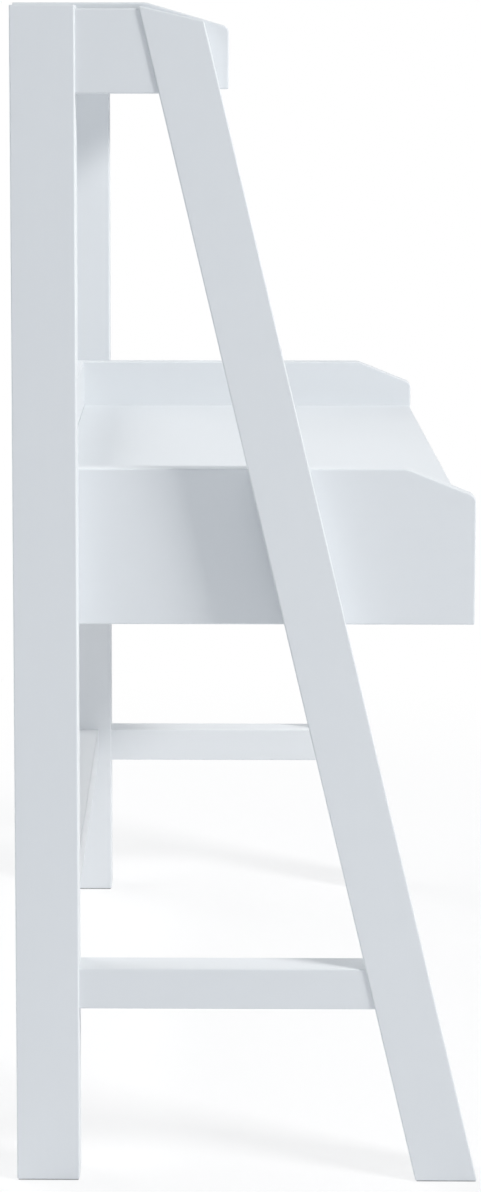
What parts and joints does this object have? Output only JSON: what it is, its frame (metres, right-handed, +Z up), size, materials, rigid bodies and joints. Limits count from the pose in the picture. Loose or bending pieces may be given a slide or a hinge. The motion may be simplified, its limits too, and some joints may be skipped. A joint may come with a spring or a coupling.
{
  "type": "ladder desk",
  "caption": "White painted desk between two ladder frames with leaning front legs, a sliding drawer under the writing surface and a tray shelf across the top.",
  "frame": {"origin": "middle of the footprint at floor level, with the drawer closed", "axes": "+X to the right of a person sitting at the desk, -Y towards that person, +Z up"},
  "size_m": [0.914, 0.5466, 1.357],
  "materials": {
    "painted_frame": "satin white paint",
    "painted_panel": "satin white paint",
    "painted_knob": "satin white paint",
    "drawer_wood": "clear lacquer",
    "drawer_base": "white faced hardboard",
    "slide_steel": "zinc plated",
    "screw_steel": "zinc plated",
    "dowel_wood": "bare beech",
    "glide_plastic": "nylon"
  },
  "bodies": {
    "desk": {"left_back_post": "painted_frame", "left_front_leg": "painted_frame", "left_top_rail": "painted_frame", "left_stretcher": "painted_frame", "right_back_post": "painted_frame", "right_front_leg": "painted_frame", "right_top_rail": "painted_frame", "right_stretcher": "painted_frame", "lower_back_rail": "painted_frame", "left_desk_panel": "painted_panel", "left_shelf_panel": "painted_panel", "right_desk_panel": "painted_panel", "right_shelf_panel": "painted_panel", "desk_back_panel": "painted_panel", "desktop": "painted_panel", "shelf_back_panel": "painted_panel", "shelf_board": "painted_panel", "left_slide_cabinet_rail": "slide_steel", "right_slide_cabinet_rail": "slide_steel", "slide_cabinet_screws": "screw_steel", "frame_bolts": "screw_steel", "insert_nuts": "screw_steel", "frame_dowels": "dowel_wood", "panel_dowels": "dowel_wood", "foot_glides": "glide_plastic"},
    "drawer": {"drawer_front": "painted_panel", "drawer_back": "drawer_wood", "drawer_bottom": "drawer_base", "knob_screws": "screw_steel", "slide_drawer_screws": "screw_steel", "drawer_dowels": "dowel_wood", "left_drawer_side": "drawer_wood", "left_knob": "painted_knob", "left_slide_drawer_rail": "slide_steel", "right_drawer_side": "drawer_wood", "right_knob": "painted_knob", "right_slide_drawer_rail": "slide_steel"},
    "slide_middles": {"left_slide_middle_rail": "slide_steel", "right_slide_middle_rail": "slide_steel"}
  },
  "joints": [
    {"name": "drawer_slide", "type": "slide", "parent": "desk", "child": "drawer", "axis": [0, -1, 0], "range_m": [0, 0.38]},
    {"name": "slide_middle_travel", "type": "slide", "parent": "desk", "child": "slide_middles", "axis": [0, -1, 0], "range_m": [0, 0.19]}
  ],
  "couplings": [
    {"joint": "slide_middle_travel", "follows": "drawer_slide", "ratio": 0.5}
  ]
}
